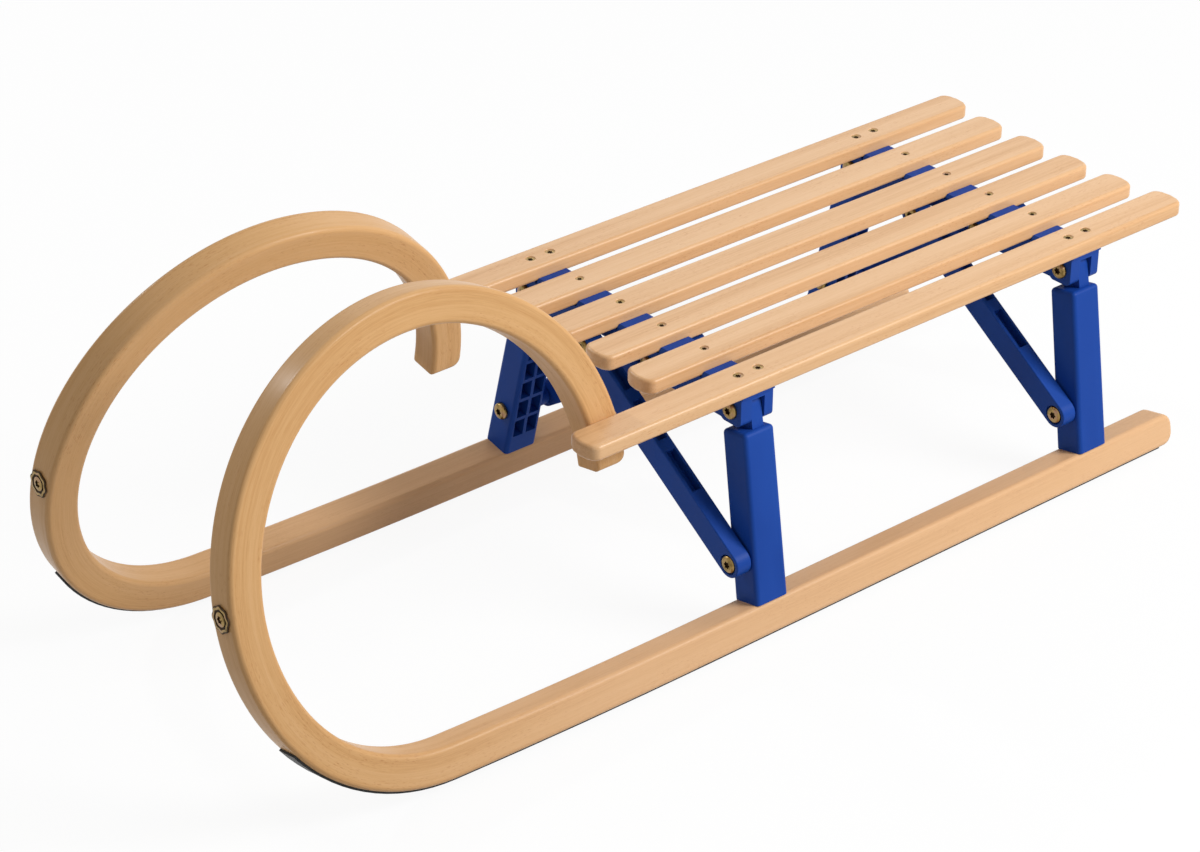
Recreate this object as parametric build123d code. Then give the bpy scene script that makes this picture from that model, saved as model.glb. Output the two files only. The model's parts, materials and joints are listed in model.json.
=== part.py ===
"""Folding horn sled: a beech seat on two moulded trestles, with a bent runner and horn on each side.

Frame: +Z up, the horns point to -Y, and +X is the rider's left.
The origin lies on the ground under the middle of the sled. Units are millimetres.
"""
import os
from math import cos, hypot, radians, sin

from build123d import *

# ---------------------------------------------------------------- driving dimensions
HALF_LENGTH = 527.0            # middle of the sled to the horns' front, and to the seat's rear end
SIDES = {"left": 1, "right": -1}
SPLAY = radians(11.5)          # the legs and runners lean out by this much

SEAT_TOP = 235.2               # top of the two middle slats above the ground
SEAT_DISH = 1.8                # the outermost slats lie this much higher
SLAT_T, SLAT_W, SLAT_PITCH = 14.5, 34.0, 55.0
SLAT_EDGE_R, SLAT_CORNER_R = 2.5, 5.0
SLAT_NOSE = 5.0                # the ends are bowed by this much
SLAT_REAR_INSET = 6.0          # the inner slats end this much before the outer ones
SLAT_FRONT_INNER, SLAT_FRONT_OUTER = -77.0, -184.0
SLAT_NAMES = ("right_outer", "right_middle", "right_inner", "left_inner", "left_middle", "left_outer")

HINGE_INSET, HINGE_DROP = 0.5, 15.0    # hinge axis from the outer slat's middle and underside
HINGE_PIN_R, STRUT_PIN_R = 4.0, 3.0
PIN_CLEARANCE = 0.05
HEAD_R, HEAD_T = 8.0, 4.0

SHOE_T, SHOE_W = 2.0, 20.0     # steel strip under each runner
SHOE_GAP = 0.05                # glue line between strip and wood
SHOE_END_TURN = 56.0           # degrees of the front bend that the strip covers
RUNNER_W, RUNNER_H, RUNNER_EDGE_R = 30.0, 30.8, 4.5
RUNNER_REAR_INSET, RUNNER_REAR_R = 28.0, 12.0   # the runner ends this much before the seat
RUNNER_TAIL, SHOE_INSET = 99.0, 15.0   # runner behind the rear trestle, and behind the strip
# bends of the runner's outer face, from the straight through the rocker up into the horn:
# radius and degrees of turn
HORN_BENDS = ((7000.0, 2.2), (180.0, 67.0), (202.5, 200.8))
HORN_TIP = 5.5                 # straight end below the last bend
HORN_LEAN = 29.0               # the horn's end stands this much further in than the runner's plane
LEAN_FROM, LEAN_TO = -114.0, 340.0  # along the centre line, counted from the horn's foremost point
LEAN_EASE = 28.0
LEAN_TURN = 40.0               # up to these degrees of turn the bar lies in the leg's plane
STATION_PITCH = 22.0           # between the horn's sections

BEAM_D, BEAM_WALL, BEAM_H = 36.0, 4.5, 26.0
BEAM_RIB = 3.0
PAD_H, PAD_CHAMFER, PAD_GAP = 5.0, 2.5, 0.5    # pads that fill the gaps between the slats
EAR_R, EAR_CORNER_R = 13.0, 6.0        # the ears reach this far past the hinge
EAR_FRONT, EAR_REAR, EAR_GAP = 12.0, 9.5, 1.0
SLOT_R, SLOT_SPARE = 3.5, 7.0          # slot for the strut's upper pin, and its spare length

LEG_W, LEG_EDGE_R = RUNNER_W, 4.0
LEG_TOP = 20.0                 # below the hinge, where the box of the leg starts
LEG_Y_TOP, LEG_Y_FOOT = (-18.0, 15.5), (-26.0, 9.5)
LEG_SKIN, LEG_SOLID_FOOT, LEG_SOLID_TOP = 4.5, 18.5, 9.0
LEG_RIB, LEG_ROWS = 3.5, 6
TONGUE_R, BOSS_R = 10.0, 6.0

STRUT_W, STRUT_T, STRUT_EDGE_R = 25.0, 16.0, 1.2
STRUT_NEAR = 25.0              # inner face of a strut, from the trestle's middle
STRUT_FOOT_UP = 72.2           # strut's lower pin above the runner's sole
STRUT_TOP_X, STRUT_TOP_DROP = 31.0, 17.0
STRUT_SIDE, POCKET_DEPTH, POCKET_R = 3.0, 9.0, 3.0
POCKET_START, POCKET_L, POCKET_PITCH, POCKETS = 68.0, 42.0, 54.0, 3
HEAD_SINK_R, HEAD_SINK = 9.3, 2.5

# ---------------------------------------------------------------- derived sizes
SLAT_BOTTOM = SEAT_TOP - SLAT_T
RUNNER_REAR_Y = HALF_LENGTH - RUNNER_REAR_INSET
HALF_SEAT = SLAT_PITCH * (len(SLAT_NAMES) - 1) / 2
HINGE_X, HINGE_Z = HALF_SEAT - HINGE_INSET, SLAT_BOTTOM - HINGE_DROP
TRESTLE_Y = {"front": 0.0, "rear": RUNNER_REAR_Y - RUNNER_TAIL}
TONGUE_Y = (EAR_FRONT + EAR_GAP - BEAM_D / 2, BEAM_D / 2 - EAR_REAR - EAR_GAP)
OUT = Vector(cos(SPLAY), 0, sin(SPLAY))        # across the left leg, away from the sled
UP = Vector(-sin(SPLAY), 0, cos(SPLAY))        # along the left leg, towards its hinge
HINGE = Vector(HINGE_X, 0, HINGE_Z)
RUNNER_BOTTOM_Z = SHOE_T * cos(SPLAY) + SHOE_W / 2 * sin(SPLAY)
RUNNER_DROP = (HINGE_Z - RUNNER_BOTTOM_Z) / cos(SPLAY)      # hinge to the runner's outer face
LEG_FOOT = RUNNER_DROP - RUNNER_H
STRUT_FOOT_DROP = RUNNER_DROP - STRUT_FOOT_UP
STRUT_FOOT = HINGE - UP * STRUT_FOOT_DROP
STRUT_TOP = Vector(-STRUT_TOP_X, 0, SLAT_BOTTOM - STRUT_TOP_DROP)


def leg_plane(offset=0.0):
    """Plane of the left legs: local x along +Y, local y up the leg from the hinge."""
    return Plane(origin=HINGE + OUT * offset, x_dir=(0, 1, 0), z_dir=OUT)


def rod(radius, y0, y1, x=0.0, z=0.0):
    """Round bar along Y."""
    place = Plane(origin=(x, y0, z), x_dir=(1, 0, 0), z_dir=(0, 1, 0))
    return extrude(place * Circle(radius), y1 - y0)


def mirrored(shape):
    return mirror(shape, about=Plane.YZ)


# ---------------------------------------------------------------- seat
def dish(x):
    return SEAT_DISH * (x / HALF_SEAT) ** 2


def slat(index):
    x = (index - (len(SLAT_NAMES) - 1) / 2) * SLAT_PITCH
    outer = index in (0, len(SLAT_NAMES) - 1)
    front = SLAT_FRONT_OUTER if outer else SLAT_FRONT_INNER
    rear = HALF_LENGTH if outer else HALF_LENGTH - SLAT_REAR_INSET
    left, right = x - SLAT_W / 2, x + SLAT_W / 2
    start, end = front + SLAT_NOSE, rear - SLAT_NOSE
    nose = ThreePointArc((left, start), (x, front), (right, start))
    tail = ThreePointArc((right, end), (x, rear), (left, end))
    sides = [Line((right, start), (right, end)), Line((left, end), (left, start))]
    outline = fillet(make_face([nose, tail, *sides]).vertices(), SLAT_CORNER_R)
    board = extrude(Pos(0, 0, SLAT_BOTTOM + dish(x)) * outline, SLAT_T)
    rims = board.edges().group_by(Axis.Z)
    return fillet(rims[0] + rims[-1], SLAT_EDGE_R)


def slat_positions():
    return [(i - (len(SLAT_NAMES) - 1) / 2) * SLAT_PITCH for i in range(len(SLAT_NAMES))]


def ear(sign):
    """Outline of one ear in the XZ plane, with its outer lower corners rounded."""
    height = HINGE_DROP + EAR_R
    outline = Pos(sign * HINGE_X, SLAT_BOTTOM - height / 2) * Rectangle(2 * EAR_R, height)
    return fillet(outline.vertices().sort_by(Axis.Y)[:2], EAR_CORNER_R)


def beam(y):
    """Inverted channel across the sled, with two ears at each end for the leg's hinge."""
    facing = Plane(origin=(0, y + BEAM_D / 2, 0), x_dir=(1, 0, 0), z_dir=(0, -1, 0))
    middle = SLAT_BOTTOM - BEAM_H / 2
    body = extrude(facing * Pos(0, middle) * Rectangle(2 * HINGE_X, BEAM_H), BEAM_D)
    for sign in SIDES.values():
        body += extrude(facing * ear(sign), BEAM_D)
    hollow_d, hollow_h = BEAM_D - 2 * BEAM_WALL, BEAM_H + 2 * EAR_R
    body -= Pos(0, y, SLAT_BOTTOM - BEAM_WALL - hollow_h / 2) * Box(2 * HINGE_X - 2 * EAR_R, hollow_d, hollow_h)
    tongue_d = TONGUE_Y[1] - TONGUE_Y[0] + 2 * EAR_GAP
    tongue_y = y + (TONGUE_Y[0] + TONGUE_Y[1]) / 2
    for sign in SIDES.values():
        gap = Pos(sign * HINGE_X, tongue_y, SLAT_BOTTOM - BEAM_WALL - hollow_h / 2)
        body -= gap * Box(2 * EAR_R, tongue_d, hollow_h)
    for x in (-1.5, -1, 1, 1.5):
        body += Pos(x * SLAT_PITCH, y, middle) * Box(BEAM_RIB, hollow_d, BEAM_H)
    gap = SLAT_PITCH - SLAT_W
    for x in slat_positions():
        lift = dish(x)
        body += Pos(x, y, SLAT_BOTTOM + lift / 2) * Box(SLAT_W - 2 * SLAT_EDGE_R, BEAM_D, lift)
    for k in range(1, len(SLAT_NAMES)):
        x = (k - len(SLAT_NAMES) / 2) * SLAT_PITCH
        pad = Pos(x, y, SLAT_BOTTOM + PAD_H / 2) * Box(gap - 2 * PAD_GAP, BEAM_D, PAD_H)
        body += chamfer(pad.edges().group_by(Axis.Z)[-1].filter_by(Axis.X), PAD_CHAMFER)
    for sign in SIDES.values():
        body -= rod(HINGE_PIN_R + PIN_CLEARANCE, y - BEAM_D, y + BEAM_D, sign * HINGE_X, HINGE_Z)
    slot = SlotCenterToCenter(2 * STRUT_TOP_X + SLOT_SPARE, 2 * SLOT_R)
    body -= extrude(facing * Pos(0, STRUT_TOP.Z) * slot, BEAM_D)
    return body


def hinge_pin(y, x):
    half = BEAM_D / 2
    pin = rod(HINGE_PIN_R, y - half, y + half, x, HINGE_Z)
    pin += rod(HEAD_R, y - half - HEAD_T, y - half, x, HINGE_Z)
    return pin + rod(HEAD_R - 1, y + half, y + half + HEAD_T, x, HINGE_Z)


# ---------------------------------------------------------------- legs
def leg_front_and_rear(drop):
    """Y of the leg's front and rear faces, at a distance below the hinge."""
    share = (drop - LEG_TOP) / (LEG_FOOT - LEG_TOP)
    return [top + share * (foot - top) for top, foot in zip(LEG_Y_TOP, LEG_Y_FOOT)]


def leg(y, strut_side):
    """Box leg of the left side, open with ribs towards the middle of the sled."""
    corners = []
    for drop, order in ((LEG_FOOT, 1), (LEG_TOP, -1)):
        corners += [(y + face, -drop) for face in leg_front_and_rear(drop)[::order]]
    body = extrude(leg_plane(-LEG_W / 2) * make_face(Polyline(*corners, close=True)), LEG_W)
    above_foot = body.edges().sort_by(Axis(HINGE, UP))[4:]
    body = fillet(above_foot, LEG_EDGE_R)
    neck = Plane(origin=HINGE + Vector(0, y + TONGUE_Y[1], 0), x_dir=OUT, z_dir=(0, -1, 0))
    profile = Circle(TONGUE_R) + Pos(0, -(LEG_TOP + 1) / 2) * Rectangle(2 * TONGUE_R, LEG_TOP + 1)
    body += extrude(neck * profile, TONGUE_Y[1] - TONGUE_Y[0])
    lowest, highest = LEG_FOOT - LEG_SOLID_FOOT, LEG_TOP + LEG_SOLID_TOP
    row_h = (lowest - highest + LEG_RIB) / LEG_ROWS - LEG_RIB
    for row in range(LEG_ROWS):
        drop = lowest - row_h / 2 - row * (row_h + LEG_RIB)
        front, rear = leg_front_and_rear(drop)
        column_w = (rear - front - 2 * LEG_SKIN - LEG_RIB) / 2
        for column_y in (front + LEG_SKIN + column_w / 2, rear - LEG_SKIN - column_w / 2):
            pocket = Pos(y + column_y, -drop) * Rectangle(column_w, row_h)
            body -= extrude(leg_plane(-LEG_W / 2) * pocket, LEG_W - LEG_SKIN)
    foot = STRUT_FOOT
    front, rear = leg_front_and_rear(STRUT_FOOT_DROP)
    body += rod(BOSS_R, y + front + 1, y + rear - 1, foot.X, foot.Z)
    if strut_side > 0:
        body += rod(HEAD_SINK_R, y + rear - 1, y + STRUT_NEAR - EAR_GAP, foot.X, foot.Z)
    body -= rod(STRUT_PIN_R, y - BEAM_D, y + BEAM_D, foot.X, foot.Z)
    body -= rod(HINGE_PIN_R + PIN_CLEARANCE, y - BEAM_D, y + BEAM_D, HINGE_X, HINGE_Z)
    return body


def strut_pin(y, strut_side):
    """Pin through the leg and the strut's foot, with a head on the strut and one on the leg."""
    front, rear = leg_front_and_rear(STRUT_FOOT_DROP)
    sunk = STRUT_NEAR + STRUT_T - HEAD_SINK
    ends = (-sunk, rear + HEAD_T / 4) if strut_side < 0 else (front - HEAD_T / 4, sunk)
    foot = STRUT_FOOT
    pin = rod(STRUT_PIN_R, y + ends[0], y + ends[1], foot.X, foot.Z)
    pin += rod(HEAD_R, y + ends[0] - HEAD_T, y + ends[0], foot.X, foot.Z)
    return pin + rod(HEAD_R, y + ends[1], y + ends[1] + HEAD_T, foot.X, foot.Z)


# ---------------------------------------------------------------- struts
def strut(y, strut_side):
    """Left strut: from the leg to the slot on the far side of the beam's middle."""
    run = STRUT_TOP - STRUT_FOOT
    length = hypot(run.X, run.Z)
    origin = Vector(STRUT_FOOT.X, y + strut_side * STRUT_NEAR, STRUT_FOOT.Z)
    flat = Plane(origin=origin, x_dir=(run.X, 0, run.Z), z_dir=(0, strut_side, 0))
    bar = extrude(flat * Pos(length / 2, 0) * SlotCenterToCenter(length, STRUT_W), STRUT_T)
    bar = fillet(bar.edges().group_by(Axis.Y)[0] + bar.edges().group_by(Axis.Y)[-1], STRUT_EDGE_R)
    for index in range(POCKETS):
        along = POCKET_START + POCKET_L / 2 + index * POCKET_PITCH
        pocket = Box(POCKET_L, 2 * POCKET_DEPTH, STRUT_T - 2 * STRUT_SIDE)
        pocket = fillet(pocket.edges().filter_by(Axis.Z), POCKET_R)
        for edge in SIDES.values():
            bar -= flat * Pos(along, edge * STRUT_W / 2, STRUT_T / 2) * pocket
    for along in (0, length):
        bar -= extrude(flat * Pos(along, 0, STRUT_T - HEAD_SINK) * Circle(HEAD_SINK_R), HEAD_SINK)
    bar -= extrude(flat * Circle(STRUT_PIN_R + PIN_CLEARANCE), STRUT_T)
    return bar - extrude(flat * Pos(length, 0) * Circle(STRUT_PIN_R), STRUT_T)


# ---------------------------------------------------------------- runner and horn
def bend_start():
    """Y of the point where the straight ends, so that the horn's front comes to -HALF_LENGTH."""
    reach, turned = 0.0, 0.0
    for radius, turn in HORN_BENDS:
        after = min(turned + turn, 90)
        reach += radius * (sin(radians(after)) - sin(radians(turned)))
        turned = after
    return reach - HALF_LENGTH


def bends_between(first, last):
    """Radius and turn of the bends, or of their parts, between two amounts of turn."""
    bends, turned = [], 0.0
    for radius, turn in HORN_BENDS:
        part = min(last, turned + turn) - max(first, turned)
        if part > 0:
            bends.append((radius, part))
        turned += turn
    return bends


def sole_curve(rear_y, outside, end_turn):
    """Straight and first bends of the runner, at a distance outside its sole, in the leg plane."""
    low = -RUNNER_DROP - outside
    pieces = [Line((rear_y, low), (bend_start(), low))]
    for radius, turn in bends_between(0, end_turn):
        pieces.append(JernArc(pieces[-1] @ 1, pieces[-1] % 1, radius + outside, -turn))
    return pieces


def lean_and_slope(along):
    """How far the horn stands in from the runner's plane, counted from its foremost point."""
    slope = HORN_LEAN / (LEAN_TO - LEAN_FROM)
    total, rate = 0.0, 0.0
    for sign, corner in ((1, LEAN_FROM), (-1, LEAN_TO)):
        past = along - corner
        if past >= LEAN_EASE:
            total += sign * slope * past
            rate += sign * slope
        elif past > -LEAN_EASE:
            total += sign * slope * (past + LEAN_EASE) ** 2 / (4 * LEAN_EASE)
            rate += sign * slope * (past + LEAN_EASE) / (2 * LEAN_EASE)
    return total, rate


def horn_stations():
    """Centre line of the horn from LEAN_TURN on: point and direction of each station."""
    start = sole_curve(RUNNER_REAR_Y, -RUNNER_H / 2, LEAN_TURN)[-1] @ 1
    y, up, turned = start.X, start.Y, LEAN_TURN
    along = -sum((radius - RUNNER_H / 2) * radians(turn) for radius, turn in bends_between(LEAN_TURN, 90))
    stations = [(y, up, turned, along)]
    for radius, turn in bends_between(LEAN_TURN, 270):
        r = radius - RUNNER_H / 2
        steps = round(r * radians(turn) / STATION_PITCH)
        for _ in range(steps):
            before, after = radians(turned), radians(turned + turn / steps)
            y += r * (sin(before) - sin(after))
            up += r * (cos(before) - cos(after))
            turned += turn / steps
            along += r * (after - before)
            stations.append((y, up, turned, along))
    stations.append((y, up - HORN_TIP, turned, along + HORN_TIP))
    placed = []
    for y, up, turned, along in stations:
        inward, rate = lean_and_slope(along)
        heading = Vector(-rate, -cos(radians(turned)), 0) + UP * sin(radians(turned))
        placed.append((HINGE + Vector(-inward, y, 0) + UP * up, heading.normalized()))
    return placed


def runner():
    section = RectangleRounded(RUNNER_W, RUNNER_H, RUNNER_EDGE_R)
    stations = horn_stations()
    sections = []
    for point, heading in stations:
        across = (OUT - heading * OUT.dot(heading)).normalized()
        sections.append(Plane(origin=point, x_dir=across, z_dir=heading) * section)
    horn = loft(sections)
    path = leg_plane() * Wire(sole_curve(RUNNER_REAR_Y, -RUNNER_H / 2, LEAN_TURN))
    base = sweep(Plane(origin=path @ 0, x_dir=OUT, z_dir=path % 0) * section, path)
    end = leg_plane(-RUNNER_W) * Pos(RUNNER_REAR_Y, -RUNNER_DROP + RUNNER_H / 2)
    square = extrude(end * Rectangle(2 * RUNNER_REAR_R, RUNNER_H), 2 * RUNNER_W)
    rounded = extrude(end * Pos(-RUNNER_REAR_R, 0) * Rectangle(2 * RUNNER_REAR_R, RUNNER_H), 2 * RUNNER_W)
    corners = rounded.edges().filter_by(lambda e: abs(e.tangent_at(0.5).dot(OUT)) > 0.9)
    rounded = fillet(corners.sort_by(Axis.Y)[-2:], RUNNER_REAR_R)
    return base - (square - rounded) + horn


def shoe():
    """Steel strip along the sole, up into the front bend."""
    rear_y = RUNNER_REAR_Y - SHOE_INSET
    upper = sole_curve(rear_y, SHOE_GAP, SHOE_END_TURN)
    lower = sole_curve(rear_y, SHOE_GAP + SHOE_T, SHOE_END_TURN)
    ends = [Line(upper[0] @ 0, lower[0] @ 0), Line(upper[-1] @ 1, lower[-1] @ 1)]
    strip = make_face([*upper, *lower, *ends])
    return extrude(leg_plane(-SHOE_W / 2) * strip, SHOE_W)


# ---------------------------------------------------------------- all nodes
def build():
    nodes = {}
    for index, name in enumerate(SLAT_NAMES):
        nodes[f"slat_{name}"] = slat(index)
    runner_left, shoe_left = runner(), shoe()
    for side, sign in SIDES.items():
        placed = (lambda s: s) if sign > 0 else mirrored
        strut_side = -sign
        nodes[f"runner_{side}"] = placed(runner_left)
        nodes[f"shoe_{side}"] = placed(shoe_left)
        for end, y in TRESTLE_Y.items():
            nodes[f"leg_{end}_{side}"] = placed(leg(y, strut_side))
            nodes[f"strut_{end}_{side}"] = placed(strut(y, strut_side))
            nodes[f"strut_pin_{end}_{side}"] = placed(strut_pin(y, strut_side))
            nodes[f"hinge_pin_{end}_{side}"] = hinge_pin(y, sign * HINGE_X)
    for end, y in TRESTLE_Y.items():
        nodes[f"beam_{end}"] = beam(y)
    return nodes


os.makedirs("parts", exist_ok=True)
for node, shape in build().items():
    export_step(shape, f"parts/{node}.step")
    size = shape.bounding_box().size
    print(f"{node:26s} {shape.volume / 1000:8.1f} cm3  {size.X:7.1f} {size.Y:7.1f} {size.Z:7.1f}")
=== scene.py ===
"""Folding horn sled: beech seat and bent horns on blue moulded trestles, with yellow zinc bolts."""

import json
from math import atan2, cos, pi, radians, sin

import bmesh
import bpy
from mathutils import Matrix, Vector

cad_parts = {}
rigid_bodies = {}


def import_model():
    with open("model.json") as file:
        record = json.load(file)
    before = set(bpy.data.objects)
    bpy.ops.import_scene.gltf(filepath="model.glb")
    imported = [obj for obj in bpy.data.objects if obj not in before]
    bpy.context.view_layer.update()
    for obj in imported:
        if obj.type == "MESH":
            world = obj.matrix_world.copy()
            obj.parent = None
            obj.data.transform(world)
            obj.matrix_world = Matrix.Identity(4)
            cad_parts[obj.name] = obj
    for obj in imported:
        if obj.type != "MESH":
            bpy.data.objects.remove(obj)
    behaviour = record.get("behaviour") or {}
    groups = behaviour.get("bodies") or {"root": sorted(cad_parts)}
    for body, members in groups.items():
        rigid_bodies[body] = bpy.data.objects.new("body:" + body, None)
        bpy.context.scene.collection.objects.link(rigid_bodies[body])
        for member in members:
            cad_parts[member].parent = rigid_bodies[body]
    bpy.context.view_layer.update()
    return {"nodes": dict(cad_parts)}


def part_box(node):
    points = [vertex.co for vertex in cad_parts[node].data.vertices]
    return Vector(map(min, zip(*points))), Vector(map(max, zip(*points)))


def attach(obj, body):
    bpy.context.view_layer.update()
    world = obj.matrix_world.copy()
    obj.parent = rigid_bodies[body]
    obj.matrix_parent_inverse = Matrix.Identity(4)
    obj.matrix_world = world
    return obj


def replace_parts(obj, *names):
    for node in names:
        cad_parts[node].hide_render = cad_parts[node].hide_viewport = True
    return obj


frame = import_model()
nodes = frame["nodes"]
for spare in ("Cube", "Camera", "Light"):
    if spare in bpy.data.objects:
        bpy.data.objects.remove(bpy.data.objects[spare])

MM = 0.001
SIDES = {"left": 1, "right": -1}
SPLAY = radians(11.5)              # the legs and runners lean out by this much
OUT = Vector((cos(SPLAY), 0, sin(SPLAY)))
UP = Vector((-sin(SPLAY), 0, cos(SPLAY)))


def middle(node):
    low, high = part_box(node)
    return (low + high) / 2


HINGE = middle("hinge_pin_front_left")
HINGE.y = 0.0                      # a point on the left hinges' common axis
TRESTLES = {"front": middle("beam_front").y, "rear": middle("beam_rear").y}


# ------------------------------------------------------------------ camera, light and floor
LENS, SENSOR = 100.78, 36.0        # millimetres
VIEW_TURN, VIEW_DOWN, VIEW_ROLL = radians(49.82), radians(30.07), radians(0.30)
VIEW_RIGHT, VIEW_UP, VIEW_BACK = -0.03512, -0.09757, 2.89765    # camera's place, from VIEW_POINT
VIEW_POINT = Vector((0, 0, 0.2352))
SOFT_BOX_AIM = Vector((0, 0, 0.15))
SKY = 0.31                         # strength of the even light from all round
FLOOR_RADIUS, FLOOR_DROP = 9, 0.0004


def studio():
    """Camera at a three-quarter view from the front left, soft boxes, and a white floor."""
    camera = bpy.data.objects.new("camera", bpy.data.cameras.new("camera"))
    bpy.context.scene.collection.objects.link(camera)
    camera.data.lens, camera.data.sensor_width = LENS, SENSOR
    camera.data.clip_end = 50.0
    turned = Matrix.Rotation(VIEW_TURN, 4, "Z") @ Matrix.Rotation(pi / 2 - VIEW_DOWN, 4, "X")
    turned = turned @ Matrix.Rotation(VIEW_ROLL, 4, "Z")
    right, up, back = (turned.col[i].to_3d() for i in range(3))
    place = right * VIEW_RIGHT + up * VIEW_UP + back * VIEW_BACK + VIEW_POINT
    camera.matrix_world = Matrix.Translation(place) @ turned
    bpy.context.scene.camera = camera

    soft_box("key", (2.0, 1.3, 2.0), (1.3, 1.3), 76)
    soft_box("back", (-2.6, 2.2, 2.2), (3.0, 1.6), 12)
    soft_box("rim", (-2.5, -0.85, 1.85), (0.3, 0.3), 20)

    world = bpy.context.scene.world or bpy.data.worlds.new("studio")
    bpy.context.scene.world = world
    world.use_nodes = True
    tree = world.node_tree
    tree.nodes.clear()
    seen = seen_directly(tree)
    sky = put(tree, "ShaderNodeBackground", {"Color": (1, 1, 1, 1), "Strength": SKY})
    white = put(tree, "ShaderNodeBackground", {"Color": (1, 1, 1, 1), "Strength": 1.0})
    mixed = put(tree, "ShaderNodeMixShader", {0: seen, 1: sky, 2: white})
    put(tree, "ShaderNodeOutputWorld", {"Surface": mixed})

    clear_choice()
    bpy.ops.mesh.primitive_circle_add(
        vertices=64, radius=FLOOR_RADIUS, fill_type="NGON", location=(0, 0, -FLOOR_DROP))
    floor = bpy.context.object
    floor.name = "floor"
    floor.data.materials.append(floor_material())


def soft_box(name, place, size, power):
    """Area lamp aimed at the sled, with its size in metres and its power in watts."""
    lamp = bpy.data.lights.new(name, "AREA")
    lamp.shape, lamp.size, lamp.size_y, lamp.energy = "RECTANGLE", *size, power
    holder = bpy.data.objects.new(name, lamp)
    bpy.context.scene.collection.objects.link(holder)
    holder.location = place
    aim = SOFT_BOX_AIM - Vector(place)
    holder.rotation_euler = aim.to_track_quat("-Z", "Y").to_euler()


# ------------------------------------------------------------------ material building
def put(tree, kind, inputs=None, **settings):
    """Adds one node, fills its inputs with values or links, and returns its first output."""
    node = tree.nodes.new(kind)
    for key, value in settings.items():
        setattr(node, key, value)
    fill(tree, node, inputs or {})
    return node.outputs[0] if node.outputs else node


def scaled(tree, vector, scale, shift=(0, 0, 0)):
    return put(tree, "ShaderNodeMapping", {"Vector": vector, "Scale": scale, "Location": shift})


def noise(tree, vector, scale, detail, roughness=0.5):
    inputs = {"Vector": vector, "Scale": scale, "Detail": detail, "Roughness": roughness}
    return put(tree, "ShaderNodeTexNoise", inputs)


def remap(tree, value, low, high, to_low=0.0, to_high=1.0):
    """Eases a value from one range over to another, and holds it at the ends."""
    inputs = {"Value": value, 1: low, 2: high, 3: to_low, 4: to_high}
    return put(tree, "ShaderNodeMapRange", inputs, interpolation_type="SMOOTHSTEP")


def maths(tree, operation, a, b):
    return put(tree, "ShaderNodeMath", {0: a, 1: b}, operation=operation)


def fill(tree, node, inputs):
    """Gives a node's inputs their values or links."""
    for key, value in inputs.items():
        if isinstance(value, bpy.types.NodeSocket):
            tree.links.new(value, node.inputs[key])
        else:
            node.inputs[key].default_value = value


def blend_colours(tree, amount, a, b, how="MIX"):
    node = tree.nodes.new("ShaderNodeMix")
    node.data_type, node.blend_type, node.clamp_factor = "RGBA", how, True
    factor, first, second, blended = 0, 6, 7, 2        # the node's colour sockets
    fill(tree, node, {factor: amount, first: a, second: b})
    return node.outputs[blended]


def three_colours(tree, value, *stops):
    """Ramp over three colours, each given with its position."""
    ramp = tree.nodes.new("ShaderNodeValToRGB")
    tree.links.new(value, ramp.inputs[0])
    (start, first), (between, second), (end, third) = stops
    elements = ramp.color_ramp.elements
    elements[0].position, elements[0].color = start, (*first, 1)
    elements[1].position, elements[1].color = end, (*third, 1)
    elements.new(between).color = (*second, 1)
    return ramp.outputs[0]


def seen_directly(tree):
    """1 for the camera, mirror reflections and glass, 0 for the light that objects receive."""
    path = tree.nodes.new("ShaderNodeLightPath").outputs
    either = maths(tree, "MAXIMUM", path["Is Camera Ray"], path["Is Glossy Ray"])
    return maths(tree, "MAXIMUM", either, path["Is Transmission Ray"])


def new_group(name, inputs, outputs):
    """Empty node group with named sockets. Returns its tree, its inputs and its output node."""
    tree = bpy.data.node_groups.new(name, "ShaderNodeTree")
    for label, kind, value in inputs:
        socket = tree.interface.new_socket(label, in_out="INPUT", socket_type=f"NodeSocket{kind}")
        if value is not None:
            socket.default_value = value
    for label, kind in outputs:
        tree.interface.new_socket(label, in_out="OUTPUT", socket_type=f"NodeSocket{kind}")
    return tree, tree.nodes.new("NodeGroupInput").outputs, tree.nodes.new("NodeGroupOutput").inputs


def new_material(name):
    material = bpy.data.materials.new(name)
    material.use_nodes = True
    tree = material.node_tree
    tree.nodes.clear()
    return material, tree


def use_group(tree, group, inputs):
    node = tree.nodes.new("ShaderNodeGroup")
    node.node_tree = group
    fill(tree, node, inputs)
    return node.outputs


def surface(tree, inputs):
    shader = put(tree, "ShaderNodeBsdfPrincipled", inputs)
    put(tree, "ShaderNodeOutputMaterial", {"Surface": shader})


def bump(tree, height, distance):
    return put(tree, "ShaderNodeBump", {"Height": height, "Distance": distance, "Strength": 1.0})


def object_place(tree):
    return tree.nodes.new("ShaderNodeTexCoord").outputs["Object"]


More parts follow.
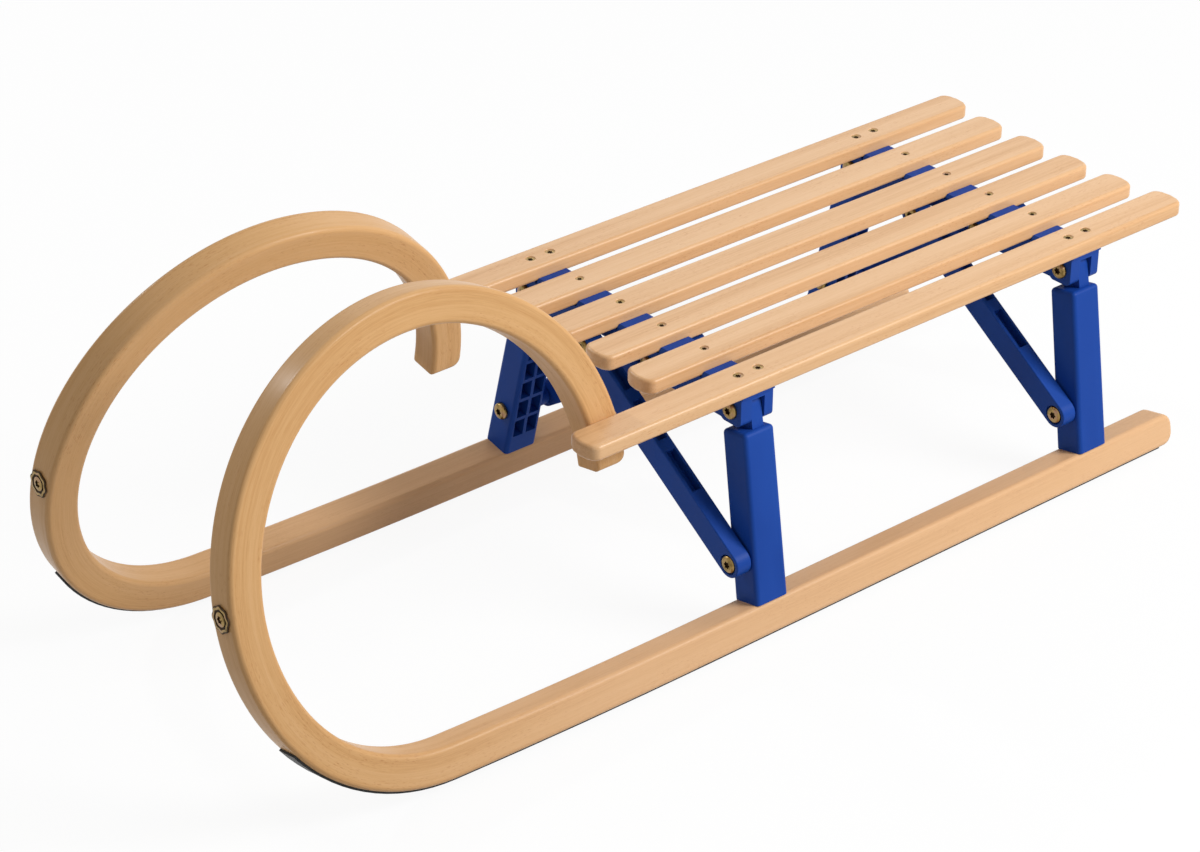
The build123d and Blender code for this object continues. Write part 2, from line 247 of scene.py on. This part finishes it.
def beech_grain():
    """Beech along local Y: wide figure, fine streaks, and the short dark flecks of its rays."""
    tree, given, result = new_group(
        "beech grain",
        [("Vector", "Vector", None), ("Figure", "Float", 1.0)],
        [("Tone", "Float"), ("Flecks", "Float"), ("Height", "Float")])
    place = given["Vector"]
    drift = noise(tree, scaled(tree, place, (3, 1.4, 3)), 1.0, 1.0)
    drift = put(tree, "ShaderNodeVectorMath", {0: drift, 1: (0.02, 0.0, 0.02)}, operation="MULTIPLY")
    place = put(tree, "ShaderNodeVectorMath", {0: place, 1: drift}, operation="ADD")
    figure = noise(tree, scaled(tree, place, (70, 1.3, 70)), 1.0, 2.0, 0.45)
    streaks = noise(tree, scaled(tree, place, (620, 8, 620), (3, 1, 7)), 1.0, 3.0, 0.55)
    fine = noise(tree, scaled(tree, place, (1900, 60, 1900), (5, 2, 1)), 1.0, 1.0, 0.5)
    flecks = noise(tree, scaled(tree, place, (1500, 190, 1500), (2, 9, 4)), 1.0, 1.0, 0.5)
    clusters = noise(tree, scaled(tree, place, (60, 12, 60), (8, 3, 2)), 1.0, 1.0, 0.5)
    figure = maths(tree, "MULTIPLY", remap(tree, figure, 0.3, 0.7, -0.20, 0.20), given["Figure"])
    tone = maths(tree, "ADD", figure, remap(tree, streaks, 0.3, 0.7, -0.10, 0.10))
    tone = maths(tree, "ADD", tone, remap(tree, fine, 0.3, 0.7, 0.43, 0.57))
    marks = remap(tree, flecks, 0.60, 0.70)
    marks = maths(tree, "MULTIPLY", marks, remap(tree, clusters, 0.42, 0.62, 0.15, 1.0))
    height = maths(tree, "SUBTRACT", remap(tree, streaks, 0.3, 0.7), marks)
    for label, value in (("Tone", tone), ("Flecks", marks), ("Height", height)):
        tree.links.new(value, result[label])
    return tree


# pale, middle and dark wood, and its shine
SLAT_COLOURS, SLAT_SHINE = ((0.80, 0.50, 0.265), (0.745, 0.445, 0.22), (0.64, 0.35, 0.155)), 0.28
HORN_COLOURS, HORN_SHINE = ((0.76, 0.462, 0.228), (0.70, 0.405, 0.176), (0.58, 0.30, 0.112)), 0.07
HORN_FIGURE = 0.6                          # how strongly the wide figure shows
FLECK_DEPTH = 0.34
# painted light and sheen: a pale, washed-out tint laid over the straight part of each runner, fading out
# towards the horn
PAINTED_LIGHT, PAINTED_LIGHT_SHARE = (0.86, 0.56, 0.36), 0.40
PAINTED_LIGHT_FULL, PAINTED_LIGHT_FROM = -0.65, -1.0   # along the straight bar, from its rear end at zero


def beech(name, grain, colours, shine, follow=None, figure=1.0, painted_light=None):
    """Clear-varnished beech. With follow, the grain follows the piece's own attribute.

    The colour painted_light tints a bent bar's straight end paler and less saturated: painted light and
    sheen on the straight runner.
    """
    pale, mid, dark = colours
    material, tree = new_material(name)
    if follow:
        place = tree.nodes.new("ShaderNodeAttribute")
        place.attribute_name = follow
        place = place.outputs["Vector"]
    else:
        place = object_place(tree)
    wood = use_group(tree, grain, {"Vector": place, "Figure": figure})
    colour = three_colours(tree, wood["Tone"], (0.12, dark), (0.5, mid), (0.88, pale))
    flecks = maths(tree, "MULTIPLY", wood["Flecks"], FLECK_DEPTH)
    colour = blend_colours(tree, flecks, colour, (*dark, 1), "MULTIPLY")
    if painted_light:
        # painted light and sheen on the runner's straight part, full at its rear end and fading towards
        # the horn
        along = put(tree, "ShaderNodeSeparateXYZ", {0: place}).node.outputs["Y"]
        tint = remap(tree, along, PAINTED_LIGHT_FROM, PAINTED_LIGHT_FULL, 0.0, PAINTED_LIGHT_SHARE)
        colour = blend_colours(tree, tint, colour, (*painted_light, 1))
    gloss = remap(tree, wood["Tone"], 0.1, 0.9, 0.40, 0.30)
    surface(tree, {
        "Base Color": colour, "Roughness": gloss, "IOR": 1.5, "Specular IOR Level": shine,
        "Normal": bump(tree, wood["Height"], 0.00003),
        "Coat Weight": 0.10, "Coat Roughness": 0.18})
    return material


def moulded_grain():
    """Fine leathery mould texture of pressed plastic, with faint flow marks."""
    tree, given, result = new_group(
        "moulded grain", [("Vector", "Vector", None)], [("Cloud", "Float"), ("Height", "Float")])
    fine = noise(tree, given["Vector"], 1400.0, 2.0, 0.6)
    cloud = noise(tree, scaled(tree, given["Vector"], (22, 22, 9)), 1.0, 2.0, 0.5)
    tree.links.new(remap(tree, cloud, 0.3, 0.7), result["Cloud"])
    tree.links.new(fine, result["Height"])
    return tree


def blue_plastic(texture):
    material, tree = new_material("blue_plastic_moulded")
    skin = use_group(tree, texture, {"Vector": object_place(tree)})
    deep, light = (0.008, 0.054, 0.310, 1), (0.012, 0.066, 0.355, 1)
    colour = blend_colours(tree, skin["Cloud"], deep, light)
    surface(tree, {
        "Base Color": colour, "Roughness": remap(tree, skin["Cloud"], 0.0, 1.0, 0.42, 0.50),
        "IOR": 1.45, "Specular IOR Level": 0.14, "Normal": bump(tree, skin["Height"], 0.00005)})
    return material


def strip_steel():
    """Bare rolled strip: dark, with rubbed lines along it."""
    material, tree = new_material("strip_steel_rolled")
    place = object_place(tree)
    rubbed = noise(tree, scaled(tree, place, (900, 12, 900)), 1.0, 3.0, 0.6)
    cloud = noise(tree, place, 30.0, 3.0, 0.6)
    lines, wear = remap(tree, rubbed, 0.3, 0.7), remap(tree, cloud, 0.3, 0.7, 0.5, 1.0)
    tone = maths(tree, "MULTIPLY", lines, wear)
    rolled, worn = (0.009, 0.009, 0.010, 1), (0.030, 0.029, 0.028, 1)
    colour = blend_colours(tree, tone, rolled, worn)
    surface(tree, {
        "Base Color": colour, "Metallic": 0.5, "Roughness": remap(tree, tone, 0, 1, 0.60, 0.42),
        "Normal": bump(tree, rubbed, 0.00003)})
    return material


def yellow_zinc():
    """Yellow passivated zinc: a gold tone that drifts to olive and pink."""
    material, tree = new_material("yellow_zinc_plate")
    place = object_place(tree)
    drift = noise(tree, place, 160.0, 2.0, 0.5)
    olive, gold, pink = (0.16, 0.105, 0.032), (0.33, 0.22, 0.08), (0.34, 0.20, 0.13)
    colour = three_colours(tree, drift, (0.32, olive), (0.52, gold), (0.70, pink))
    fine = noise(tree, place, 2500.0, 1.0)
    surface(tree, {
        "Base Color": colour, "Metallic": 1.0, "Roughness": remap(tree, drift, 0.3, 0.7, 0.24, 0.36),
        "Normal": bump(tree, fine, 0.00001)})
    return material


def painted_socket_shade():
    """Painted shade in the sockets of the bolts and screws, and round the rosettes' rims: near black
    with brown spots.
    """
    material, tree = new_material("socket_painted_shade")
    spots = noise(tree, object_place(tree), 700.0, 2.0)
    black, brown = (0.018, 0.009, 0.003, 1), (0.08, 0.042, 0.014, 1)
    colour = blend_colours(tree, spots, black, brown)
    surface(tree, {"Base Color": colour, "Metallic": 0.2, "Roughness": 0.55, "Specular IOR Level": 0.2})
    return material


def floor_material():
    """White to the eye, and a light grey paint to the light that it throws back on the sled."""
    material, tree = new_material("floor_white")
    tone = noise(tree, object_place(tree), 0.8, 1.0)
    colour = blend_colours(tree, tone, (0.57, 0.57, 0.57, 1), (0.59, 0.59, 0.59, 1))
    paint = put(tree, "ShaderNodeBsdfDiffuse", {"Color": colour})
    bright = put(tree, "ShaderNodeBsdfDiffuse", {"Color": (0.98, 0.98, 0.98, 1)})
    glow = put(tree, "ShaderNodeEmission", {"Color": (1, 1, 1, 1), "Strength": 1.0})
    shown = put(tree, "ShaderNodeMixShader", {0: 0.92, 1: bright, 2: glow})
    mixed = put(tree, "ShaderNodeMixShader", {0: seen_directly(tree), 1: paint, 2: shown})
    put(tree, "ShaderNodeOutputMaterial", {"Surface": mixed})
    return material


# ------------------------------------------------------------------ modelling by hand
def clear_choice():
    for other in bpy.context.selected_objects:
        other.select_set(False)


def choose(piece):
    clear_choice()
    piece.select_set(True)
    bpy.context.view_layer.objects.active = piece


def edit(piece):
    choose(piece)
    bpy.ops.object.mode_set(mode="EDIT")
    bpy.ops.mesh.select_all(action="DESELECT")


def done():
    bpy.ops.object.mode_set(mode="OBJECT")


def pick(kind, test):
    """Selects the edited piece's VERT, EDGE or FACE elements whose test holds, and nothing else."""
    bpy.ops.mesh.select_mode(type=kind)
    bpy.ops.mesh.select_all(action="DESELECT")
    shape = bmesh.from_edit_mesh(bpy.context.object.data)
    elements = {"VERT": shape.verts, "EDGE": shape.edges, "FACE": shape.faces}[kind]
    for element in elements:
        if test(element):
            element.select_set(True)
    shape.select_flush_mode()
    bmesh.update_edit_mesh(bpy.context.object.data)


def started(name):
    """Settles the new primitive's place and size into its mesh, and names it."""
    bpy.ops.object.transform_apply(location=True, rotation=True, scale=True)
    bpy.context.object.name = bpy.context.object.data.name = name
    return bpy.context.object


def block(name, low, high):
    """Starts a piece as a box between two corners."""
    low, high = Vector(low), Vector(high)
    clear_choice()
    bpy.ops.mesh.primitive_cube_add(size=1, location=(low + high) / 2, scale=high - low)
    return started(name)


def round_off(radius, segments):
    bpy.ops.mesh.bevel(offset=radius, segments=segments, affect="EDGES", clamp_overlap=False)


def smooth(piece):
    """Smooth shading that keeps the flats flat."""
    choose(piece)
    bpy.ops.object.shade_smooth_by_angle(angle=radians(35))
    weighted = piece.modifiers.new("flats", "WEIGHTED_NORMAL")
    weighted.keep_sharp = True
    bpy.ops.object.modifier_apply(modifier=weighted.name)


def fitting(model, name, place, body):
    """A placed copy of a modelled screw, bolt or washer, with its own mesh, riding on a body."""
    piece = model.copy()
    piece.data = model.data.copy()
    piece.name = piece.data.name = name
    piece.data.transform(place)
    bpy.context.scene.collection.objects.link(piece)
    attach(piece, body)
    return piece


# ------------------------------------------------------------------ screws and bolts
# the second slot takes the dark material, which is painted shade in the fittings' sockets, grooves and
# rims
ZINC, PAINTED_SHADE = 0, 1                  # a fitting's material slots
SOCKET_LOBES, SOCKET_WAVE = 6, 0.16
BOLT_R, BOLT_RISE, BOLT_ROUND = 8.0 * MM, 3.7 * MM, 2.5 * MM
SCREW_T, SCREW_TAPER = 1.6 * MM, 0.62
ROSETTE_R, ROSETTE_LOBES = 10.8 * MM, 8
# the rosette's rings from its rim to its screw: radius and height in millimetres, wave, material slot;
# the dark slot is painted shade round the rim and in the groove inside the zinc ring
ROSETTE_RINGS = (
    (11.4, 0.5, 0.05, PAINTED_SHADE), (11.4, 1.2, 0.05, PAINTED_SHADE), (10.2, 1.7, 0.06, PAINTED_SHADE), (8.2, 1.7, 0.04, ZINC),
    (7.4, 0.6, 0, PAINTED_SHADE), (6.2, 0.5, 0, PAINTED_SHADE), (6.0, 1.5, 0, PAINTED_SHADE), (4.8, 2.0, 0, ZINC))


def shape_end(radius, lobes, wave, height=None):
    """Brings the corners of a turned piece's selected end to a round or lobed outline."""
    shape = bmesh.from_edit_mesh(bpy.context.object.data)
    for corner in {v for f in shape.faces if f.select for v in f.verts}:
        turn = atan2(corner.co.y, corner.co.x)
        reach = radius * (1 + wave * cos(lobes * turn))
        corner.co.x, corner.co.y = reach * cos(turn), reach * sin(turn)
        if height is not None:
            corner.co.z = height
    bmesh.update_edit_mesh(bpy.context.object.data)


def step_in(radius, height, wave=0.0):
    """Carries the selected flat end of a turned piece on to a round or lobed outline."""
    bpy.ops.mesh.inset(thickness=0.05 * MM)
    shape_end(radius, ROSETTE_LOBES, wave, height)


def paint_more(slot):
    """Gives a material slot to the selected faces and those around them."""
    bpy.context.object.active_material_index = slot
    bpy.ops.mesh.select_more()
    bpy.ops.object.material_slot_assign()


def paint_round(slot):
    """Gives a material slot to the selected end and the ring around it, and selects the end again."""
    shape = bmesh.from_edit_mesh(bpy.context.object.data)
    end = [f.index for f in shape.faces if f.select]
    paint_more(slot)
    pick("FACE", lambda f: f.index in end)


def socket(radius, depth):
    """Sinks a lobed driver socket into the selected flat end of a turned piece, and paints its walls and
    floor dark as painted shade.
    """
    shape_end(radius, SOCKET_LOBES, SOCKET_WAVE)
    bpy.ops.mesh.extrude_region_move(TRANSFORM_OT_translate={"value": (0, 0, -depth)})
    # the socket's walls and floor take the dark material: painted shade
    paint_more(PAINTED_SHADE)


def top_face(face):
    return face.normal.z > 0.9 and len(face.verts) > 8


def turned_piece(name, radius, low, high, corners, zinc, dark):
    """Starts a fitting as a disc with both its materials, open in edit mode."""
    clear_choice()
    bpy.ops.mesh.primitive_cylinder_add(
        vertices=corners, radius=radius, depth=high - low, location=(0, 0, (low + high) / 2))
    piece = started(name)
    piece.data.materials.append(zinc)
    piece.data.materials.append(dark)
    edit(piece)
    return piece


def button_bolt(zinc, dark):
    """Head of a pan-head bolt, turned along Z with its seat at zero."""
    bolt = turned_piece("bolt_model", BOLT_R, -0.6 * MM, BOLT_RISE, 48, zinc, dark)
    pick("EDGE", lambda e: all(v.co.z > BOLT_RISE - 0.1 * MM for v in e.verts))
    round_off(BOLT_ROUND, 5)
    pick("FACE", top_face)
    bpy.ops.mesh.inset(thickness=1.3 * MM, depth=0.25 * MM)
    bpy.ops.mesh.inset(thickness=0.5 * MM, depth=-0.15 * MM)
    socket(3.1 * MM, 2.2 * MM)
    done()
    smooth(bolt)
    return bolt


def rosette(zinc, dark):
    """Lobed cup washer with its screw, as set into the front of each horn."""
    cup = turned_piece("rosette_model", ROSETTE_R, -2.0 * MM, 0.4 * MM, 96, zinc, dark)
    pick("FACE", top_face)
    for radius, height, wave, slot in ROSETTE_RINGS:
        step_in(radius * MM, height * MM, wave)
        paint_round(slot)
    socket(3.0 * MM, 2.2 * MM)
    bpy.ops.mesh.primitive_uv_sphere_add(
        segments=16, ring_count=8, radius=1.4 * MM, location=(0, 0, 0.2 * MM))
    cup.active_material_index = ZINC
    bpy.ops.object.material_slot_assign()
    done()
    smooth(cup)
    return cup


def slat_screw(zinc, dark, radius):
    """Countersunk screw head with its flat end at zero."""
    screw = turned_piece("screw_model", radius, -SCREW_T, 0.0, 32, zinc, dark)
    pick("FACE", lambda f: f.normal.z < -0.9)
    bpy.ops.transform.resize(value=(SCREW_TAPER, SCREW_TAPER, 1))
    pick("FACE", top_face)
    step_in(0.88 * radius, 0.0)
    step_in(0.74 * radius, -0.25 * MM)
    socket(0.5 * radius, 1.0 * MM)
    done()
    smooth(screw)
    return screw


# ------------------------------------------------------------------ seat
SLAT_EDGE_R, SLAT_CORNER_R, SLAT_NOSE = 3.4 * MM, 5.0 * MM, 5.0 * MM
SCREW_SINK, SCREW_SPREAD, SCREW_TURN = 0.7 * MM, 11.2 * MM, 0.7
OUTER_SCREW_R, INNER_SCREW_R, SCREW_PLAY = 4.5 * MM, 3.9 * MM, 0.5 * MM
SINK_DEPTH, SINK_MIDDLE = 4 * MM, 1.2 * MM     # the countersink's cone, and its middle below the top
SLATS = [f"{side}_{row}" for side, rows in (
    ("right", ("outer", "middle", "inner")), ("left", ("inner", "middle", "outer"))) for row in rows]


def screw_places(slat):
    """Where the slat's screws go: two to a trestle on the outer slats, one on the others."""
    x = middle(f"slat_{slat}").x
    spread = (-SCREW_SPREAD, SCREW_SPREAD) if "outer" in slat else (0.0,)
    return [(x, y + step) for y in TRESTLES.values() for step in spread]


def screw_radius(slat):
    return OUTER_SCREW_R if "outer" in slat else INNER_SCREW_R


def sink(board, x, y, top, radius):
    """Countersinks the board's top."""
    clear_choice()
    bpy.ops.mesh.primitive_cone_add(
        vertices=32, radius1=radius * 0.55, radius2=radius * 1.1, depth=SINK_DEPTH,
        location=(x, y, top - SINK_MIDDLE))
    cutter = bpy.context.object
    cut = board.modifiers.new("sink", "BOOLEAN")
    cut.operation, cut.object, cut.solver = "DIFFERENCE", cutter, "EXACT"
    choose(board)
    bpy.ops.object.modifier_apply(modifier=cut.name)
    bpy.data.objects.remove(cutter)


def slat_board(slat, wood):
    """One seat slat: a board with a bowed nose, eased rims and countersunk screw holes."""
    low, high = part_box(f"slat_{slat}")
    board = block(f"board_{slat}", low, high)
    edit(board)
    pick("EDGE", lambda e: abs(e.verts[0].co.x - e.verts[1].co.x) > MM)
    bpy.ops.mesh.subdivide(number_cuts=3)
    shape = bmesh.from_edit_mesh(board.data)
    centre, half = (low.x + high.x) / 2, (high.x - low.x) / 2
    for corner in shape.verts:
        inward = 1 if corner.co.y < low.y + MM else -1
        corner.co.y += inward * SLAT_NOSE * ((corner.co.x - centre) / half) ** 2
    bmesh.update_edit_mesh(board.data)
    pick("EDGE", lambda e: abs(e.verts[0].co.z - e.verts[1].co.z) > MM
         and min(abs(e.verts[0].co.x - low.x), abs(e.verts[0].co.x - high.x)) < 0.1 * MM)
    round_off(SLAT_CORNER_R, 4)
    pick("EDGE", lambda e: abs(e.verts[0].co.z - e.verts[1].co.z) < 0.1 * MM
         and len({round(abs(f.normal.z)) for f in e.link_faces}) == 2)
    round_off(SLAT_EDGE_R, 4)
    done()
    board.data.materials.append(wood)
    for x, y in screw_places(slat):
        sink(board, x, y, high.z, screw_radius(slat) + SCREW_PLAY)
    smooth(board)
    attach(board, "seat")
    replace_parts(board, f"slat_{slat}")


# ------------------------------------------------------------------ runners and horns
RUNNER_W, RUNNER_H, RUNNER_EDGE_R = 30 * MM, 30.8 * MM, 4.5 * MM
RUNNER_REAR_R, HORN_TIP_R = 12 * MM, 9 * MM
RUNNER_REAR_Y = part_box("runner_left")[1].y
HORN_FRONT_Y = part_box("runner_left")[0].y
# bends of the runner's outer face, from the straight up into the horn: radius and degrees of turn
HORN_BENDS = [(radius * MM, radians(turn)) for radius, turn in ((7000, 2.2), (180, 67), (202.5, 200.8))]
HORN_TIP = 5.5 * MM
HORN_LEAN, LEAN_FROM, LEAN_TO, LEAN_EASE = 29 * MM, -114 * MM, 340 * MM, 28 * MM
RING_STRAIGHT, RING_BENT = 90 * MM, 6.5 * MM       # between the bar's rings, before it is bent
GRAIN_SHIFT = 0.3                                  # so that the two bars differ in grain
SHOE_T, SHOE_W = 2 * MM, 20 * MM
SOLE_DROP = (HINGE.z - SHOE_T * cos(SPLAY) - SHOE_W / 2 * sin(SPLAY)) / cos(SPLAY)


def bends_to_the_front():
    """How far ahead the bends reach up to the horn's foremost point, and their length along the bar."""
    ahead = length = turned = 0.0
    for radius, turn in HORN_BENDS:
        after = min(turned + turn, pi / 2)
        ahead += radius * (sin(after) - sin(turned))
        length += (radius - RUNNER_H / 2) * (after - turned)
        turned = after
    return ahead, length


BENDS_AHEAD, BENDS_LENGTH = bends_to_the_front()
STRAIGHT = RUNNER_REAR_Y - HORN_FRONT_Y - BENDS_AHEAD
FOREMOST = STRAIGHT + BENDS_LENGTH
RUNNER_LONG = STRAIGHT + HORN_TIP + sum((radius - RUNNER_H / 2) * turn for radius, turn in HORN_BENDS)


def lean_and_slope(along):
    """How far the horn stands in from the runner's plane, and how fast that grows along the bar."""
    slope = HORN_LEAN / (LEAN_TO - LEAN_FROM)
    total, rate = 0.0, 0.0
    for sign, corner in ((1, LEAN_FROM), (-1, LEAN_TO)):
        past = along - corner
        if past >= LEAN_EASE:
            total += sign * slope * past
            rate += sign * slope
        elif past > -LEAN_EASE:
            total += sign * slope * (past + LEAN_EASE) ** 2 / (4 * LEAN_EASE)
            rate += sign * slope * (past + LEAN_EASE) / (2 * LEAN_EASE)
    return total, rate


def bent(point):
    """Where a point of the straight left bar comes to when the bar is bent into runner and horn."""
    across, travelled, height = point.x, -point.y, point.z
    y, up, turned, left = RUNNER_REAR_Y, -SOLE_DROP + RUNNER_H / 2, 0.0, travelled
    step = min(left, STRAIGHT)
    y, left = y - step, left - step
    for radius, turn in HORN_BENDS:
        r = radius - RUNNER_H / 2
        step = min(left, r * turn)
        after = turned + step / r
        y += r * (sin(turned) - sin(after))
        up += r * (cos(turned) - cos(after))
        turned, left = after, left - step
    y, up = y - left * cos(turned), up + left * sin(turned)
    inward, rate = lean_and_slope(travelled - FOREMOST)
    heading = (Vector((-rate, -cos(turned), 0)) + UP * sin(turned)).normalized()
    side = (OUT - heading * OUT.dot(heading)).normalized()
    centre = HINGE + Vector((-inward, y, 0)) + UP * up
    return centre + side * across + heading.cross(side) * height


def straight_bar(wood):
    """The runner's blank before bending: an eased bar along -Y, ringed closely where it will bend."""
    half_w, half_h = RUNNER_W / 2, RUNNER_H / 2
    bar = block("bar_model", (-half_w, -RUNNER_LONG, -half_h), (half_w, 0, half_h))
    edit(bar)

    def runs_across(edge):
        return abs(edge.verts[0].co.x - edge.verts[1].co.x) > MM
    pick("EDGE", lambda e: runs_across(e) and e.verts[0].co.y > -MM)
    round_off(RUNNER_REAR_R, 6)
    pick("EDGE", lambda e: runs_across(e) and e.verts[0].co.y < MM - RUNNER_LONG and e.verts[0].co.z < 0)
    round_off(HORN_TIP_R, 5)
    pick("EDGE", lambda e: len({round(abs(f.normal.x)) for f in e.link_faces}) == 2)
    round_off(RUNNER_EDGE_R, 4)
    cuts = [RING_STRAIGHT * k for k in range(1, int(STRAIGHT / RING_STRAIGHT) + 1)]
    bent_length = RUNNER_LONG - STRAIGHT
    rings = round(bent_length / RING_BENT)
    cuts += [STRAIGHT + bent_length * k / rings for k in range(rings - 1)]
    for cut in cuts:
        bpy.ops.mesh.select_all(action="SELECT")
        bpy.ops.mesh.bisect(plane_co=(0, -cut, 0), plane_no=(0, 1, 0))
    done()
    bar.data.materials.append(wood)
    return bar


def bent_runner(bar, side, sign):
    """Bends a copy of the bar, and keeps each point's place in the straight wood for the grain."""
    piece = bar.copy()
    piece.data = bar.data.copy()
    piece.name = piece.data.name = f"horn_runner_{side}"
    bpy.context.scene.collection.objects.link(piece)
    straight = piece.data.attributes.new("straight", "FLOAT_VECTOR", "POINT")
    for vertex, kept in zip(piece.data.vertices, straight.data):
        kept.vector = vertex.co + Vector((GRAIN_SHIFT * sign, 0, 0))
        vertex.co = bent(vertex.co)
        vertex.co.x *= sign
    if sign < 0:
        edit(piece)
        bpy.ops.mesh.select_all(action="SELECT")
        bpy.ops.mesh.flip_normals()
        done()
    smooth(piece)
    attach(piece, f"side_{side}")
    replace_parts(piece, f"runner_{side}")


# ------------------------------------------------------------------ fittings in their places
FORWARD = Matrix.Rotation(radians(90), 4, "X")       # a head turned to face -Y
BACKWARD = Matrix.Rotation(radians(-90), 4, "X")
HEAD_T = 4 * MM                                      # a pin's head, whose seat the bolt's head shares
BEAM_HALF_D = 18 * MM
UPPER_BOLT_X, UPPER_BOLT_DROP = 31 * MM, 2 * MM      # from the sled's middle, and below the hinges
UPPER_HEAD_SINK = 2.5 * MM                           # into the left struts, in front of their beams
ROSETTE_UP = 12 * MM                                 # above the horn's foremost point


def seat_screws(slat, zinc, dark):
    """Sets the slat's screws in their countersinks, each one's socket turned a little further."""
    screw = slat_screw(zinc, dark, screw_radius(slat))
    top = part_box(f"slat_{slat}")[1].z
    for index, (x, y) in enumerate(screw_places(slat)):
        turned = Matrix.Rotation(SCREW_TURN * index, 4, "Z")
        place = Matrix.Translation((x, y, top - SCREW_SINK)) @ turned
        fitting(screw, f"screw_{slat}_{index}", place, "seat")
    bpy.data.objects.remove(screw)


def pin_ends(bolt, kind, where, body):
    """A pin's bolt head in front and its nut behind, in place of the plain pin."""
    pin = f"{kind}_pin_{where}"
    low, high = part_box(pin)
    x, z = middle(pin).x, middle(pin).z
    front = Matrix.Translation((x, low.y + HEAD_T, z)) @ FORWARD
    behind = Matrix.Translation((x, high.y - HEAD_T, z)) @ BACKWARD
    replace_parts(fitting(bolt, f"{kind}_bolt_{where}", front, body), pin)
    fitting(bolt, f"{kind}_nut_{where}", behind, body)


def upper_bolt(bolt, end, side):
    """Head of the bolt that slides in the beam's slot, on the strut's upper end."""
    strut = f"strut_{end}_{side}"
    if side == "left":
        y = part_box(strut)[0].y + UPPER_HEAD_SINK
    else:
        y = TRESTLES[end] - BEAM_HALF_D
    place = Matrix.Translation((-SIDES[side] * UPPER_BOLT_X, y, HINGE.z - UPPER_BOLT_DROP)) @ FORWARD
    fitting(bolt, f"upper_bolt_{end}_{side}", place, strut)


def horn_rosette(flower, side):
    """Sets a rosette on the horn's outer face, just above its foremost point."""
    spot = bent(Vector((0, -FOREMOST - ROSETTE_UP, -RUNNER_H / 2)))
    spot.x *= SIDES[side]
    splayed = Matrix.Rotation(-SIDES[side] * SPLAY, 4, "Y")
    tilted = Matrix.Rotation(-ROSETTE_UP / HORN_BENDS[-1][0], 4, "X")
    place = Matrix.Translation(spot) @ splayed @ tilted @ FORWARD
    fitting(flower, f"horn_rosette_{side}", place, f"side_{side}")


# ------------------------------------------------------------------ the whole sled
studio()
grain = beech_grain()
slat_wood = beech("beech_slats", grain, SLAT_COLOURS, SLAT_SHINE)
# the horns' wood carries painted light and sheen: a paler tint on the runners' straight parts
horn_wood = beech(
    "beech_horns", grain, HORN_COLOURS, HORN_SHINE,
    follow="straight", figure=HORN_FIGURE, painted_light=PAINTED_LIGHT)
plastic = blue_plastic(moulded_grain())
# dark: painted shade for the sockets of the fittings and the rims of the rosettes
steel, zinc, dark = strip_steel(), yellow_zinc(), painted_socket_shade()

FINISHES = {"slat": slat_wood, "runner": horn_wood, "shoe": steel, "hinge_pin": zinc, "strut_pin": zinc}
for name, node in nodes.items():
    finish = next((found for start, found in FINISHES.items() if name.startswith(start)), plastic)
    for index in range(len(node.data.materials)):
        node.data.materials[index] = finish

for slat in SLATS:
    slat_board(slat, slat_wood)
    seat_screws(slat, zinc, dark)

bar = straight_bar(horn_wood)
for side, sign in SIDES.items():
    bent_runner(bar, side, sign)
bpy.data.objects.remove(bar)

bolt = button_bolt(zinc, dark)
for end in TRESTLES:
    for side in SIDES:
        pin_ends(bolt, "hinge", f"{end}_{side}", "seat")
        pin_ends(bolt, "strut", f"{end}_{side}", f"side_{side}")
        upper_bolt(bolt, end, side)
bpy.data.objects.remove(bolt)

flower = rosette(zinc, dark)
for side in SIDES:
    horn_rosette(flower, side)
bpy.data.objects.remove(flower)

bpy.context.scene.view_settings.view_transform = "Standard"
